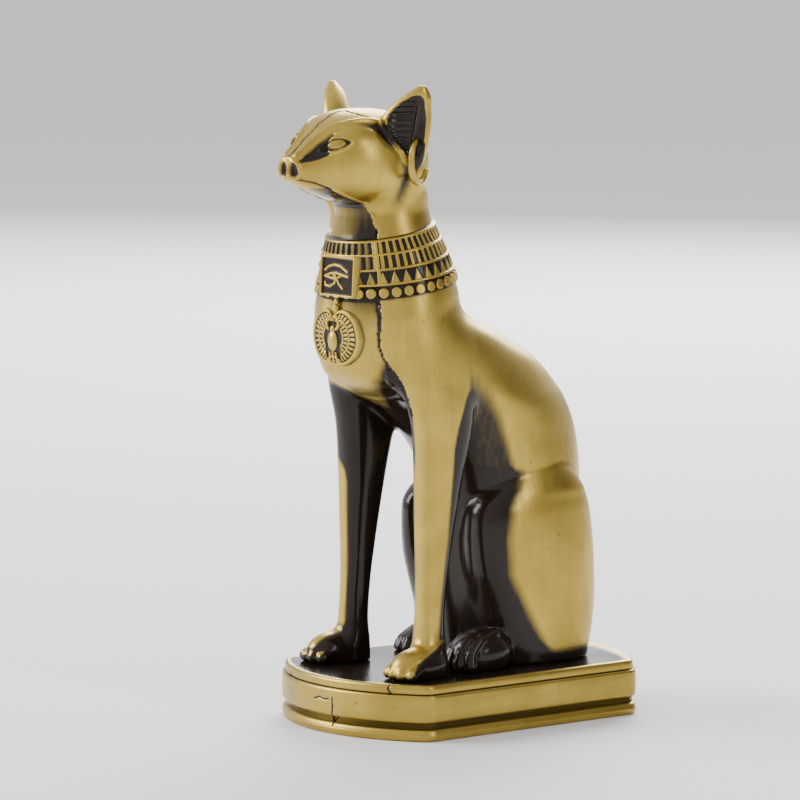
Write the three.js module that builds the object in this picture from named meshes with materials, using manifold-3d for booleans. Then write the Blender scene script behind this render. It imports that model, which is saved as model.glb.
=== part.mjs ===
// A seated Egyptian cat statuette, cast with its ornaments in antique brass, on a moulded plinth.
// Millimetres, +Z up. The cat faces -Y. The origin is the centre of the plinth's underside.
import * as THREE from "three";
import { mergeVertices } from "three/addons/utils/BufferGeometryUtils.js";
import Module from "manifold-3d";

// Plinth: straight sides, bowed ends, and four mouldings from the underside up.
const PLINTH_WIDTH = 56.2;
const PLINTH_LENGTH = 84.4;
const PLINTH_BOW = 11.1; // how far each end bulges past the line between its corners
const PLINTH_CORNER = 4.5; // radius where a side meets an end
const FOOT_BAND = 2.9; // height of the lowest band
const GROOVE_HEIGHT = 1.4;
const GROOVE_DEPTH = 0.9;
const MAIN_BAND = 6.5;
const TIER_HEIGHT = 2.2; // the top step
const TIER_SETBACK = 0.8;
const EDGE_ROUND = 0.6; // rounding of the bands' edges

// Cat: its body is in shares of its own height, from the plinth's top to the ear tips.
const CAT_HEIGHT = 137;
const CAT_FORWARD = 0.65; // how far it sits in front of the plinth's middle
const EAR_WALL = 1.1;

// Collar: four raised hoops and a row of discs under them.
const HOOP_RELIEF = 0.75; // how far the hoops stand out
const HOOP_WIDTH = 0.95;
const COLLAR_DISCS = 35;
const DISC_RADIUS = 1.2;
const COLLAR_RISE = 4.6; // how much higher the collar sits at the nape than on the breast

// Breast ornaments: a framed plaque with an eye, and a winged scarab.
const PLAQUE = { width: 13.4, height: 9, thick: 1.6, rim: 0.9 };
const SCARAB = { width: 17.5, height: 13.6, thick: 1.5 };

const EAR_HOOP = { tall: 5, deep: 4.4, tube: 0.8 }; // half height, half depth and half thickness

const plinthHeight = FOOT_BAND + GROOVE_HEIGHT + MAIN_BAND + TIER_HEIGHT;
const unit = CAT_HEIGHT / 137; // one millimetre of a cat of the photographed size

// A table of lengths of the photographed cat, sized to this one. Columns past the given number are shares.
const sized = (rows, lengths = 9) => rows.map((row) => row.map((value, c) => (c < lengths ? value * unit : value)));

const wasm = await Module();
wasm.setup();

// Solids

function solid(geometry) {
  const bare = geometry.index ? geometry.toNonIndexed() : geometry.clone();
  bare.deleteAttribute("normal");
  bare.deleteAttribute("uv");
  const merged = mergeVertices(bare, 1e-4);
  const mesh = new wasm.Mesh({
    numProp: 3,
    vertProperties: merged.attributes.position.array,
    triVerts: new Uint32Array(merged.index.array),
  });
  return new wasm.Manifold(mesh);
}

function join(solids) {
  return solids.reduce((all, next) => all.add(next));
}

// The outer skin alone: the little hollows that overlapping forms shut in are filled.
function withoutHollows(manifold) {
  return join(manifold.decompose().filter((body) => body.volume() > 0));
}

function geometryOf(manifold) {
  const mesh = manifold.getMesh();
  const points = new Float32Array(mesh.numVert * 3);
  for (let i = 0; i < mesh.numVert; i++) {
    points.set(mesh.vertProperties.subarray(i * mesh.numProp, i * mesh.numProp + 3), i * 3);
  }
  const geometry = new THREE.BufferGeometry();
  geometry.setAttribute("position", new THREE.BufferAttribute(points, 3));
  geometry.setIndex(new THREE.BufferAttribute(mesh.triVerts, 1));
  return geometry;
}

// A closed skin over rings of points: each ring has as many points as the next, and the ends close on their centres.
function skin(rings) {
  const sides = rings[0].length;
  const points = rings.flat();
  const middle = (ring) => ring.reduce((sum, p) => sum.add(p), new THREE.Vector3()).divideScalar(sides);
  const first = points.push(middle(rings[0])) - 1;
  const last = points.push(middle(rings.at(-1))) - 1;
  const faces = [];
  for (let i = 0; i < sides; i++) {
    const j = (i + 1) % sides;
    faces.push(first, j, i);
    for (let r = 0; r + 1 < rings.length; r++) {
      const low = r * sides;
      const high = low + sides;
      faces.push(low + i, low + j, high + j, low + i, high + j, high + i);
    }
    const top = (rings.length - 1) * sides;
    faces.push(last, top + i, top + j);
  }
  const geometry = new THREE.BufferGeometry();
  geometry.setAttribute("position", new THREE.Float32BufferAttribute(points.flatMap((p) => [p.x, p.y, p.z]), 3));
  geometry.setIndex(faces);
  return geometry;
}

// The value at t, from 0 to 1, of a smooth line through evenly spaced numbers.
function smooth(values, t) {
  const line = new THREE.SplineCurve(values.map((v, i) => new THREE.Vector2(i, v)));
  return line.getPoint(t).y;
}

// Level slices: each slice is [z, front y, back y, half width, narrowing towards the back].
function slices(rows, sides, steps) {
  const rings = [];
  for (let s = 0; s <= steps; s++) {
    const [z, front, back, half, narrow] = [0, 1, 2, 3, 4].map((c) => smooth(rows.map((row) => row[c]), s / steps));
    rings.push(sliceRing(z, front, back, half, narrow, sides));
  }
  return skin(rings);
}

function sliceRing(z, front, back, half, narrow, sides) {
  const ring = [];
  for (let i = 0; i < sides; i++) {
    const angle = (i / sides) * 2 * Math.PI;
    const x = half * Math.cos(angle) * (1 - narrow * Math.sin(angle));
    const y = (front + back) / 2 + ((back - front) / 2) * Math.sin(angle);
    ring.push(new THREE.Vector3(x, y, z));
  }
  return ring;
}

// A limb: oval sections square to a smooth line through its stations, each [x, y, z, half width, half depth].
function limb(stations, sides, steps) {
  const path = new THREE.CatmullRomCurve3(stations.map(([x, y, z]) => new THREE.Vector3(x, y, z)));
  const rings = [];
  for (let s = 0; s <= steps; s++) {
    const t = s / steps;
    const at = path.getPoint(t);
    const along = path.getTangent(t);
    const across = new THREE.Vector3(1, 0, 0).addScaledVector(along, -along.x).normalize();
    const up = new THREE.Vector3().crossVectors(along, across);
    const wide = smooth(stations.map((q) => q[3]), t);
    const deep = smooth(stations.map((q) => q[4]), t);
    const ring = [];
    for (let i = 0; i < sides; i++) {
      const angle = (i / sides) * 2 * Math.PI;
      ring.push(
        at.clone()
          .addScaledVector(across, wide * Math.cos(angle))
          .addScaledVector(up, deep * Math.sin(angle)),
      );
    }
    rings.push(ring);
  }
  return skin(rings);
}

function ball(x, y, z, rx, ry, rz, detail = 10) {
  const geometry = new THREE.SphereGeometry(1, detail, Math.round(detail * 0.7));
  geometry.scale(rx, ry, rz);
  geometry.translate(x, y, z);
  return geometry;
}

const both = (make) => [make(1), make(-1)];

// Plinth

const plinthHalf = PLINTH_WIDTH / 2;
const endRadius = (plinthHalf ** 2 + PLINTH_BOW ** 2) / (2 * PLINTH_BOW);
const endCentre = PLINTH_LENGTH / 2 - endRadius;
const cornerX = plinthHalf - PLINTH_CORNER;
const cornerTurn = Math.acos(cornerX / (endRadius - PLINTH_CORNER));
const cornerY = endCentre + (endRadius - PLINTH_CORNER) * Math.sin(cornerTurn);

function arc(x, y, radius, from, to, steps) {
  const angles = Array.from({ length: steps + 1 }, (_, i) => from + ((to - from) * i) / steps);
  return angles.map((angle) => new THREE.Vector2(x + radius * Math.cos(angle), y + radius * Math.sin(angle)));
}

// The plan, drawn in by inset all round: a corner, a bowed end, a corner, and the same again half a turn on.
function plinthOutline(inset) {
  const corner = PLINTH_CORNER - inset;
  const end = [
    ...arc(cornerX, cornerY, corner, 0, cornerTurn, 3),
    ...arc(0, endCentre, endRadius - inset, cornerTurn, Math.PI - cornerTurn, 10).slice(1, -1),
    ...arc(-cornerX, cornerY, corner, Math.PI - cornerTurn, Math.PI, 3),
  ];
  return [...end, ...end.map((p) => p.clone().negate())];
}

function plinth() {
  const grooveFrom = FOOT_BAND;
  const grooveTo = FOOT_BAND + GROOVE_HEIGHT;
  const tierFrom = grooveTo + MAIN_BAND;
  const profile = [
    [0, EDGE_ROUND],
    [EDGE_ROUND, 0],
    [grooveFrom - EDGE_ROUND, 0],
    [grooveFrom, EDGE_ROUND],
    [grooveFrom, GROOVE_DEPTH],
    [grooveTo, GROOVE_DEPTH],
    [grooveTo, EDGE_ROUND],
    [grooveTo + EDGE_ROUND, 0],
    [tierFrom - EDGE_ROUND, 0],
    [tierFrom, EDGE_ROUND],
    [tierFrom, TIER_SETBACK],
    [plinthHeight - EDGE_ROUND, TIER_SETBACK],
    [plinthHeight, TIER_SETBACK + EDGE_ROUND],
  ];
  return skin(profile.map(([z, inset]) => plinthOutline(inset).map((p) => new THREE.Vector3(p.x, p.y, z))));
}

// Cat. Heights here are over the plinth's top.

// Trunk and neck: [z, front y, back y, half width, narrowing towards the back].
const TRUNK = sized(
  [
    [0, -2, 32.2, 16.5, 0.05],
    [17, -4, 32.6, 17.5, 0.05],
    [32, -5, 33, 17, 0.05],
    [45, -7, 33.8, 16.8, 0.08],
    [54, -13, 33, 16.6, 0.12],
    [61, -20, 30.2, 17, 0.16],
    [65.5, -29.4, 26.8, 17.5, 0.19],
    [69, -34.6, 23.6, 17.8, 0.21],
    [72.5, -36.4, 19.2, 18, 0.22],
    [78, -36.9, 9, 18.3, 0.18],
    [83.5, -36.7, -2.4, 18.2, 0.1],
    [89, -36, -5.2, 17.8, 0.04],
    [94, -35.4, -6.8, 16.8, 0],
    [99, -34.9, -8.6, 15, 0],
    [103, -34.2, -10.3, 12.9, 0],
    [107, -34, -11.8, 11.6, 0],
    [112, -33, -12.6, 11.4, 0],
  ],
  4,
);

// The trunk's surface at a height and an angle, 0 at the cat's left and a quarter turn at its back.
function onTrunk(z, angle, out = 0) {
  let k = 0;
  while (k + 2 < TRUNK.length && TRUNK[k + 1][0] < z) k++;
  const t = (k + (z - TRUNK[k][0]) / (TRUNK[k + 1][0] - TRUNK[k][0])) / (TRUNK.length - 1);
  const [front, back, half, narrow] = [1, 2, 3, 4].map((c) => smooth(TRUNK.map((row) => row[c]), t));
  const x = half * Math.cos(angle) * (1 - narrow * Math.sin(angle));
  const y = (front + back) / 2 + ((back - front) / 2) * Math.sin(angle);
  const normal = new THREE.Vector3(Math.cos(angle) / half, (2 * Math.sin(angle)) / (back - front), 0).normalize();
  return new THREE.Vector3(x, y, z).addScaledVector(normal, out);
}

// The head's upright slices from nape to nose: [y, top, bottom, half width, height of the widest point].
const HEAD = sized([
  [-14.4, 121, 113, 3, 118],
  [-15.6, 126.5, 110, 8.6, 118],
  [-19, 129.6, 108.8, 11.6, 118],
  [-24, 131, 108.4, 13.2, 118],
  [-29, 131.4, 108.4, 13.5, 118.4],
  [-34, 131.2, 109, 13.1, 119.2],
  [-38, 130, 110.2, 11.9, 120.4],
  [-41.5, 127.8, 111.4, 9.8, 120.2],
  [-45, 124.8, 113, 6.9, 119.6],
  [-48, 122.3, 114.6, 4.6, 118.8],
  [-49.4, 121.4, 115.4, 3.8, 118.4],
  [-50.3, 120.8, 116.2, 3.1, 118.5],
]);

function head() {
  const rings = [];
  const steps = 13;
  const sides = 18;
  for (let s = 0; s <= steps; s++) {
    const [y, top, bottom, half, widest] = [0, 1, 2, 3, 4].map((c) => smooth(HEAD.map((row) => row[c]), s / steps));
    const ring = [];
    for (let i = 0; i < sides; i++) {
      const angle = (i / sides) * 2 * Math.PI;
      const squared = (v) => Math.sign(v) * Math.abs(v) ** 0.86;
      const rise = Math.sin(angle) > 0 ? top - widest : widest - bottom;
      ring.push(new THREE.Vector3(half * squared(Math.cos(angle)), y, widest + rise * squared(Math.sin(angle))));
    }
    rings.push(ring);
  }
  return solid(skin(rings));
}

// An ear is a scoop that opens sideways: each level is [z, front x, front y, back x, back y, depth].
const EAR = sized([
  [117.5, 14.8, -25.2, 15.6, -24.2, 0.8],
  [119.5, 13.6, -26.6, 16.3, -23, 2],
  [122, 12.4, -28.2, 16.7, -22.3, 2.9],
  [125, 11.2, -29.8, 17, -21.8, 3.4],
  [128.5, 10.3, -31, 17.3, -21.6, 3.6],
  [131.5, 11.8, -30.2, 17.6, -21.8, 3],
  [134.5, 14.6, -28, 18.1, -22.2, 2.1],
  [137, 17.4, -25.2, 18.2, -23.8, 0.6],
]);

function earLevels(side, wall, shift) {
  const rings = [];
  const steps = 8;
  const sides = 10;
  for (let s = 0; s <= steps; s++) {
    const [z, fx, fy, bx, by, deep] = [0, 1, 2, 3, 4, 5].map((c) => smooth(EAR.map((row) => row[c]), s / steps));
    const half = new THREE.Vector2(bx - fx, by - fy).divideScalar(2);
    const outward = new THREE.Vector2(half.y, -half.x).normalize();
    const long = Math.max(1 - wall / half.length(), 0.1);
    const thick = Math.max(deep - wall, 0.25);
    const ring = [];
    for (let i = 0; i < sides; i++) {
      const angle = (-side * i * 2 * Math.PI) / sides;
      const u = long * Math.cos(angle);
      const v = thick * Math.sin(angle) + shift;
      const x = (fx + bx) / 2 + half.x * u + outward.x * v;
      const y = (fy + by) / 2 + half.y * u + outward.y * v;
      ring.push(new THREE.Vector3(side * x, y, z));
    }
    rings.push(ring);
  }
  return skin(rings);
}

function ear(side) {
  const scoop = 2.6 * unit; // how far outward the hollow lies
  const back = -unit;
  const lift = 1.2 * unit;
  const hollow = solid(earLevels(side, EAR_WALL, scoop)).translate([0, 0, lift]);
  return solid(earLevels(side, 0, back)).subtract(hollow);
}

const mirrored = (rows, side) => rows.map(([x, ...rest]) => [side * x, ...rest]);

// Face: lines over its left side, each station [x, y, z, half width, half depth].
const BROW = sized([
  [2.2, -48.6, 121.2, 0.5, 0.5],
  [2.5, -45.6, 123.9, 0.6, 0.6],
  [4.6, -41, 127.2, 0.7, 0.7],
  [7.6, -36.4, 128.6, 0.8, 0.8],
  [9.4, -30.6, 128.8, 0.9, 0.9],
]);
const EYE_CHANNEL = sized([
  [3.2, -49.6, 120.4, 0.5, 0.5],
  [4.3, -46.8, 121.9, 1, 1],
  [5.9, -43.8, 123.5, 1.3, 1.3],
]);
const EYE = sized([[8.2, -41.8, 123.8]])[0];
const EYE_BALL = sized([[2.2, 1.3, 1.1]])[0];
const NOSTRIL = sized([[1.6, -50.4, 118.2]])[0];
const NOSTRIL_PIT = sized([[0.9, 0.8, 1.6]])[0];

// A ball at the eye, drawn out along the eye's line and turned to the cheek.
function eyeForm(side, grow) {
  const [long, tall, deep] = EYE_BALL.map((size) => size * grow);
  const form = ball(0, 0, 0, long, deep, tall, 6);
  form.rotateY(side * -0.2);
  form.rotateZ(side * 0.82);
  form.translate(side * EYE[0], EYE[1], EYE[2]);
  return solid(form);
}

function carveFace(bust) {
  const raised = both((side) => solid(limb(mirrored(BROW, side), 5, 6)));
  const cuts = both((side) => [
    solid(limb(mirrored(EYE_CHANNEL, side), 5, 3)),
    solid(ball(side * NOSTRIL[0], NOSTRIL[1], NOSTRIL[2], ...NOSTRIL_PIT, 6)),
    eyeForm(side, 1.5).translate([side * 0.5 * unit, -0.5 * unit, 0.3 * unit]),
  ]).flat();
  return join([bust, ...raised]).subtract(join(cuts)).add(join(both((side) => eyeForm(side, 0.9))));
}

// Left foreleg from the shoulder down: [x, y, z, half width, half depth].
const FORELEG = sized([
  [9.6, -19.5, 88, 4, 7],
  [12.4, -18.6, 78, 5.6, 9.6],
  [14, -17, 67, 5.2, 9.4],
  [14.4, -16.2, 57, 4.7, 7.8],
  [14.3, -17.2, 46, 4.3, 6.1],
  [14.2, -18.3, 34, 3.7, 4.8],
  [14.2, -19.3, 21, 3.1, 3.7],
  [14.3, -20, 11, 3.1, 3.5],
  [14.4, -20.2, 5, 3.9, 3.9],
  [14.5, -20.4, 0, 4.3, 4.2],
]);

function foreleg(side) {
  return solid(limb(mirrored(FORELEG, side), 10, 11));
}

// Paws: the heel's place, the turn outward, and the toes' arch as shares of length and height.
const FRONT_PAW = {
  heel: [15.4, -19],
  length: 14.2,
  half: 5.2,
  tall: 8,
  turn: 0.1,
  arch: [
    [0.22, 0.76],
    [0.54, 0.42],
    [0.86, 0.18],
  ],
};
const HIND_PAW = {
  heel: [14.4, 1.5],
  length: 15.5,
  half: 5.6,
  tall: 11,
  turn: 0.03,
  arch: [
    [0.35, 0.76],
    [0.66, 0.64],
    [0.87, 0.36],
    [0.9, 0.16],
  ],
};
const RIGHT_HIND_PAW = { ...HIND_PAW, heel: [15, 10.2], half: 5, tall: 7.5 };

// A paw of four toes that lies flat on the plinth.
function paw({ heel, length, half, tall, turn, arch }, side) {
  const place = (across, ahead) => [
    side * (heel[0] + across * Math.cos(turn) + ahead * Math.sin(turn)) * unit,
    (heel[1] + across * Math.sin(turn) - ahead * Math.cos(turn)) * unit,
  ];
  const pad = [half * 0.96, length * 0.52, tall * 0.56].map((size) => size * unit);
  const parts = [solid(ball(...place(0, length * 0.38), tall * 0.32 * unit, ...pad, 7))];
  const toe = half * 0.28;
  for (const spread of [-1, -0.34, 0.34, 1]) {
    const stations = arch.map(([ahead, height], i) => {
      const across = spread * (half - toe) * (0.7 + (0.3 * i) / (arch.length - 1));
      const drawn = length * (ahead - 0.08 * spread ** 2);
      return [...place(across, drawn), tall * height * unit, toe * unit, toe * unit];
    });
    parts.push(solid(limb(stations, 5, 2)));
  }
  return join(parts);
}

// Left haunch from the floor up: [z, front y, back y, half width, narrowing].
const HAUNCH = sized(
  [
    [0, 2.2, 29, 7.6, 0],
    [12, -0.6, 31, 8.4, 0],
    [24, -3.8, 31, 8.6, 0],
    [34, -4.5, 30, 8.2, 0],
    [42, -2, 27.5, 7.2, 0],
    [46.6, 5, 23, 4.8, 0],
    [48.4, 10, 18, 2, 0],
  ],
  4,
);
const HAUNCH_APART = 11.4 * unit; // from the cat's middle to a haunch's middle
const RIGHT_HAUNCH_FORWARD = 1.8 * unit;

function haunch(side) {
  const lump = slices(HAUNCH, 14, 8);
  lump.translate(side * HAUNCH_APART, side < 0 ? -RIGHT_HAUNCH_FORWARD : 0, 0);
  return solid(lump);
}

// The tail runs round the rump and along the right haunch: [x, y, z, half width, half depth].
const TAIL = sized([
  [-4, 32, 4.5, 3.6, 4],
  [-12, 31.4, 3.2, 3.4, 3.6],
  [-18.6, 25.6, 2.8, 3.1, 3.3],
  [-20.8, 16, 2.7, 2.8, 3.1],
  [-21, 8, 2.6, 2.7, 2.9],
  [-20.9, 2.8, 2.5, 2.3, 2.5],
  [-20.8, 0.6, 2.4, 1.2, 1.3],
]);

function tail() {
  return solid(limb(TAIL, 8, 9));
}

// Collar

const collarLine = (z, angle) => z + (COLLAR_RISE / 2) * Math.sin(angle);

// The collar's band: four hoops on a thin ground, closed all round the neck.
const HOOPS = [93.1, 96.5, 99.9, 103].map((z) => z * unit);
const DISC_LINE = HOOPS[0] - 1.9 * unit;

function band() {
  const sides = 24;
  const ground = 0.12;
  const under = -1.5;
  const low = HOOPS[0] - HOOP_WIDTH / 2;
  const high = HOOPS.at(-1) + HOOP_WIDTH / 2;
  const profile = [[low, under]];
  for (const z of HOOPS) {
    profile.push([z - HOOP_WIDTH / 2, profile.length === 1 ? under : ground]);
    profile.push([z - HOOP_WIDTH / 2, HOOP_RELIEF], [z + HOOP_WIDTH / 2, HOOP_RELIEF]);
    profile.push([z + HOOP_WIDTH / 2, z + HOOP_WIDTH / 2 === high ? under : ground]);
  }
  profile.shift();
  const count = profile.length;
  const points = [];
  for (let i = 0; i < sides; i++) {
    const angle = (i / sides) * 2 * Math.PI;
    for (const [z, out] of profile) points.push(onTrunk(collarLine(z, angle), angle, out));
  }
  const faces = [];
  for (let i = 0; i < sides; i++) {
    const here = i * count;
    const next = ((i + 1) % sides) * count;
    for (let c = 0; c < count; c++) {
      const d = (c + 1) % count;
      faces.push(here + c, next + c, next + d, here + c, next + d, here + d);
    }
  }
  const geometry = new THREE.BufferGeometry();
  geometry.setAttribute("position", new THREE.Float32BufferAttribute(points.flatMap((p) => [p.x, p.y, p.z]), 3));
  geometry.setIndex(faces);
  return solid(geometry);
}

function alongCollar(geometry, z, angle) {
  const at = onTrunk(collarLine(z, angle), angle);
  const ahead = onTrunk(collarLine(z, angle + 0.01), angle + 0.01).sub(at).normalize();
  const above = onTrunk(collarLine(z + 1, angle), angle).sub(at).normalize();
  const out = new THREE.Vector3().crossVectors(ahead, above).normalize();
  const up = new THREE.Vector3().crossVectors(out, ahead);
  geometry.applyMatrix4(new THREE.Matrix4().makeBasis(ahead, up, out).setPosition(at));
  return solid(geometry);
}

function round(count, make) {
  return Array.from({ length: count }, (_, i) => make(((i + 0.5) / count) * 2 * Math.PI));
}

function collar() {
  const disc = () => new THREE.CylinderGeometry(DISC_RADIUS, DISC_RADIUS, HOOP_RELIEF * 2, 6).rotateX(Math.PI / 2);
  return [band(), ...round(COLLAR_DISCS, (angle) => alongCollar(disc(), DISC_LINE, angle))];
}

function plaque() {
  const body = new THREE.BoxGeometry(PLAQUE.width, PLAQUE.height, PLAQUE.thick);
  const well = new THREE.BoxGeometry(PLAQUE.width - 2 * PLAQUE.rim, PLAQUE.height - 2 * PLAQUE.rim, 1);
  well.translate(0, 0, PLAQUE.thick / 2);
  return solid(body).subtract(solid(well));
}

function scarab() {
  const wing = new THREE.Shape();
  const half = SCARAB.width / 2;
  const tall = SCARAB.height;
  wing.moveTo(0, -tall * 0.5);
  wing.bezierCurveTo(half * 0.9, -tall * 0.4, half * 1.15, tall * 0.25, half * 0.75, tall * 0.5);
  wing.bezierCurveTo(half * 0.5, tall * 0.5, half * 0.25, tall * 0.35, half * 0.1, tall * 0.12);
  wing.lineTo(-half * 0.1, tall * 0.12);
  wing.bezierCurveTo(-half * 0.25, tall * 0.35, -half * 0.5, tall * 0.5, -half * 0.75, tall * 0.5);
  wing.bezierCurveTo(-half * 1.15, tall * 0.25, -half * 0.9, -tall * 0.4, 0, -tall * 0.5);
  const plate = new THREE.ExtrudeGeometry(wing, { depth: SCARAB.thick, bevelEnabled: false, curveSegments: 4 });
  const body = ball(0, -tall * 0.12, SCARAB.thick, 1.9, 3, 0.9, 8);
  const headOf = ball(0, tall * 0.17, SCARAB.thick, 1.2, 1.1, 0.7, 6);
  return join([solid(plate), solid(body), solid(headOf)]);
}

// Sets a flat ornament on the breast, facing forward and lying back with the breast.
function onBreast(ornament, z, out) {
  const at = onTrunk(z, -Math.PI / 2, out);
  const above = onTrunk(z + 4, -Math.PI / 2, out);
  const lean = Math.atan2(above.y - at.y, above.z - at.z);
  const turn = new THREE.Matrix4().makeRotationX(Math.PI / 2 - lean).setPosition(at);
  return ornament.transform(turn.elements);
}

// A crescent hoop, thickest below, open at the back where it meets the ear.
function earring(side) {
  const { tall, deep, tube } = EAR_HOOP;
  const middle = [side * 15.5 * unit, -23.9 * unit, 119.7 * unit];
  const stations = arc(0, 0, 1, Math.PI * 0.03, Math.PI * 1.38, 12).map((p, i, all) => {
    const thick = tube * (0.4 + 0.6 * Math.sin((Math.PI * i) / (all.length - 1)));
    return [0, -deep * p.y, tall * p.x, thick, thick];
  });
  return solid(limb(stations, 5, 12)).rotate([0, 0, side * 27]).translate(middle);
}

function cat() {
  const parts = [
    solid(slices(TRUNK, 20, 18)),
    carveFace(join([head(), ...both(ear)])),
    ...both(foreleg),
    ...both(haunch),
    ...both((side) => paw(FRONT_PAW, side)),
    paw(HIND_PAW, 1),
    paw(RIGHT_HIND_PAW, -1),
    tail(),
    ...collar(),
    onBreast(plaque(), 93.1 * unit, 0.4 * unit).translate([-0.6 * unit, 0, 0]),
    onBreast(scarab(), 78.4 * unit, -0.9 * unit),
    ...both(earring),
  ];
  const floor = solid(new THREE.BoxGeometry(200, 200, 100).translate(0, 0, -50));
  return withoutHollows(join(parts).subtract(floor));
}

function mesh(name, geometry, colour, roughness, metalness) {
  const made = new THREE.Mesh(geometry, new THREE.MeshStandardMaterial({ color: colour, roughness, metalness }));
  made.name = name;
  return made;
}

const figure = mesh("cat", geometryOf(cat()), 0xb59a5c, 0.32, 1);
figure.position.set(0, -CAT_FORWARD, plinthHeight);

const part = new THREE.Group();
part.add(mesh("plinth", plinth(), 0xb59a5c, 0.35, 1), figure);

export default part;
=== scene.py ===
import math
import bpy
import numpy as np
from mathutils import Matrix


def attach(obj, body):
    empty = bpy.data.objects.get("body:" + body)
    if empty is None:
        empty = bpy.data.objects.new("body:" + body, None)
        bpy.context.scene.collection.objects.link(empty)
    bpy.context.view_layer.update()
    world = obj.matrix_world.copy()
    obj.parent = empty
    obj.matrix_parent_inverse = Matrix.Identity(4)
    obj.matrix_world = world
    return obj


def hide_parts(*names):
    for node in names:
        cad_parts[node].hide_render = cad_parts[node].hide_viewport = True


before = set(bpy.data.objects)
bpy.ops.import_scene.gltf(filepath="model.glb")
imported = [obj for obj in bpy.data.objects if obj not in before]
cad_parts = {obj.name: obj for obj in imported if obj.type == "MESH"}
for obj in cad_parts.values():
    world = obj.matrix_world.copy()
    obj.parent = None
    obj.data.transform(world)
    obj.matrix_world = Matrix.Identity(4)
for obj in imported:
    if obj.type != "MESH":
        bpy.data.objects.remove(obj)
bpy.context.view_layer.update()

import openvdb
from mathutils import Vector

# Lengths are in millimetres over the plinth's top until a mesh is made. The cat faces -Y and +X is its left.
PLINTH_TOP = 13.0
CAT_FORWARD = 0.65

# Level sets


class Field:
    """Signed distances on a grid: negative inside."""

    def __init__(self, low, high, step):
        self.low = np.array(low, dtype=float)
        self.step = step
        self.shape = tuple(int(math.ceil((h - l) / step)) + 1 for l, h in zip(low, high))
        self.d = np.full(self.shape, 50.0, dtype=np.float32)

    def part(self, low, high):
        """The grid's cells inside a box, with their open coordinate arrays."""
        first = [max(0, int((l - o) / self.step)) for l, o in zip(low, self.low)]
        last = [max(0, min(n, int((h - o) / self.step) + 2)) for h, o, n in zip(high, self.low, self.shape)]
        cells = tuple(slice(a, max(a, b)) for a, b in zip(first, last))
        axes = [self.low[k] + self.step * np.arange(first[k], max(first[k], last[k])) for k in range(3)]
        shaped = [axes[0][:, None, None], axes[1][None, :, None], axes[2][None, None, :]]
        return cells, [a.astype(np.float32) for a in shaped]

    def combine(self, sign, form, blend, low=(-999, -999, -999), high=(999, 999, 999)):
        """Works a form in between low and high, with its crease rounded over blend millimetres."""
        cells, (x, y, z) = self.part(low, high)
        if 0 in self.d[cells].shape:
            return
        new = sign * form(x, y, z).astype(np.float32)
        old = self.d[cells]
        k = blend(x, y, z) if callable(blend) else blend
        h = np.clip(0.5 + sign * 0.5 * (old - new) / k, 0, 1)
        self.d[cells] = old * (1 - h) + new * h - sign * k * h * (1 - h)

    def add(self, form, blend, *box):
        self.combine(1, form, blend, *box)

    def cut(self, form, blend, *box):
        self.combine(-1, form, blend, *box)

    def at(self, points):
        """The distances at points, read between the grid's cells."""
        p = (points - self.low) / self.step
        p = np.clip(p, 0, np.array(self.shape) - 1.001)
        i = p.astype(int)
        w = p - i
        total = np.zeros(len(points))
        for dx in (0, 1):
            for dy in (0, 1):
                for dz in (0, 1):
                    weight = np.abs(1 - dx - w[:, 0]) * np.abs(1 - dy - w[:, 1]) * np.abs(1 - dz - w[:, 2])
                    total += weight * self.d[i[:, 0] + dx, i[:, 1] + dy, i[:, 2] + dz]
        return total

    def normals(self, points):
        e = self.step * 0.8
        slope = [self.at(points + e * axis) - self.at(points - e * axis) for axis in np.eye(3)]
        slope = np.stack(slope, axis=1)
        return slope / np.maximum(np.linalg.norm(slope, axis=1, keepdims=True), 1e-9)

    def skin(self):
        """Points and quads of the zero surface."""
        grid = openvdb.FloatGrid(3 * self.step)
        grid.copyFromArray(np.clip(self.d, -3 * self.step, 3 * self.step))
        points, _, quads = grid.convertToPolygons(0.0, 0.0)
        return points.astype(float) * self.step + self.low, quads


def spline(values, t):
    """A smooth line through evenly spaced values, at t from 0 to 1."""
    v = np.asarray(values, dtype=float)
    n = len(v) - 1
    p = np.clip(t, 0, 1) * n
    i = np.minimum(p.astype(int), n - 1)
    w = p - i
    a, b, c, d = v[np.maximum(i - 1, 0)], v[i], v[i + 1], v[np.minimum(i + 2, n)]
    m0, m1 = (c - a) / 2, (d - b) / 2
    return (2 * b - 2 * c + m0 + m1) * w**3 + (-3 * b + 3 * c - 2 * m0 - m1) * w**2 + m0 * w + b


def dense(rows, count=500):
    """A table of stations read off finely along its smooth line, one array for each column."""
    t = np.linspace(0, 1, count)
    return [spline([row[c] for row in rows], t) for c in range(len(rows[0]))]


def oval(u, v, a, b, power, lengthwise=None):
    """Distance to an oval of half sizes a and b. lengthwise is the axis along which the oval changes."""
    p, q = np.abs(u) / a, np.abs(v) / b
    k = np.maximum((p**power + q**power) ** (1 / power), 1e-4)
    steep = k ** (1 - power) * np.sqrt((p ** (power - 1) / a) ** 2 + (q ** (power - 1) / b) ** 2)
    slope = np.maximum(steep, 0.25 / np.maximum(a, b))
    if lengthwise is not None:
        axis, step = lengthwise
        if k.shape[axis] > 2:
            lean = np.abs(np.gradient(k, step, axis=axis)) / np.maximum(k, 1)
            slope = np.sqrt(slope**2 + np.minimum(lean, 1.5 * slope) ** 2)
    return (k - 1) / slope


def ball(cx, cy, cz, rx, ry, rz):
    def form(x, y, z):
        p, q, r = (x - cx) / rx, (y - cy) / ry, (z - cz) / rz
        k = np.sqrt(p**2 + q**2 + r**2)
        return k * (k - 1) / np.maximum(np.sqrt((p / rx) ** 2 + (q / ry) ** 2 + (r / rz) ** 2), 1e-3)
    return form


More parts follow.
